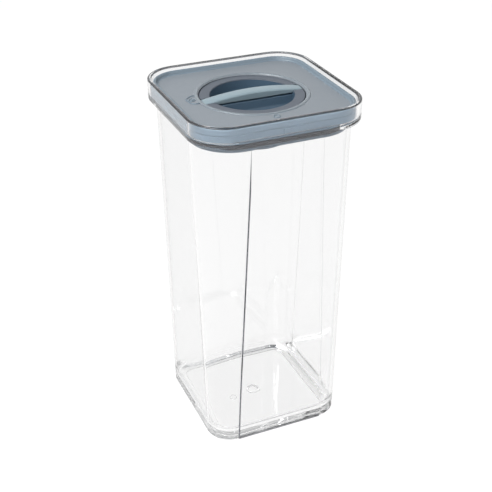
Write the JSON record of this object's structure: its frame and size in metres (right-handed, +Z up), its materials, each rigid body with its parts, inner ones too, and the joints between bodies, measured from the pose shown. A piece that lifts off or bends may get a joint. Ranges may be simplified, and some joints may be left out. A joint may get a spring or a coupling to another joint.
{
  "type": "lidded storage canister",
  "caption": "Square clear plastic storage canister, flaring to a collar, with an airtight lid worked by a flush round knob with a grip bar.",
  "frame": {"origin": "centre of the underside, on the surface that the canister stands on", "axes": "+Z up through the knob's axis; X along the grip bar when the lid is locked; the front panel faces -Y"},
  "size_m": [0.11, 0.11, 0.231],
  "materials": {
    "clear_shell": "clear moulded, polished",
    "lid_plastic": "satin",
    "inner_plastic": "satin",
    "knob_plastic": "satin",
    "grip_plastic": "fine satin",
    "acetal": "smooth",
    "silicone": "matt",
    "screw_steel": "plated",
    "spring_steel": "drawn wire"
  },
  "bodies": {
    "container": {"container": "clear_shell"},
    "lid": {"lid_cover": "lid_plastic", "lid_tray": "lid_plastic", "tray_screws": "screw_steel", "seal_ring": "silicone", "return_springs": "spring_steel", "glide_ring": "acetal", "thrust_washer": "acetal"},
    "knob": {"knob_cup": "knob_plastic", "knob_grip": "grip_plastic", "grip_screws": "screw_steel", "spindle": "acetal", "cam_pins": "screw_steel", "spindle_screws": "screw_steel", "spindle_o_ring": "silicone"},
    "press": {"press_plate": "inner_plastic", "cam_sleeve": "acetal", "sleeve_screws": "screw_steel", "hub_cap": "inner_plastic", "cap_gasket": "silicone"}
  },
  "joints": [
    {"name": "lid_lift", "type": "slide", "parent": "container", "child": "lid", "axis": [0, 0, 1], "range_m": [0, 0.12]},
    {"name": "knob_turn", "type": "hinge", "parent": "lid", "child": "knob", "pos_m": [0, 0, 0.226], "axis": [0, 0, 1], "range_deg": [0, 90]},
    {"name": "press_drop", "type": "slide", "parent": "lid", "child": "press", "axis": [0, 0, -1], "range_m": [0, 0.003], "deforming": ["seal_ring", "return_springs"]}
  ],
  "couplings": [
    {"joint": "press_drop", "follows": "knob_turn", "m_per_rad": 0.0019098}
  ]
}
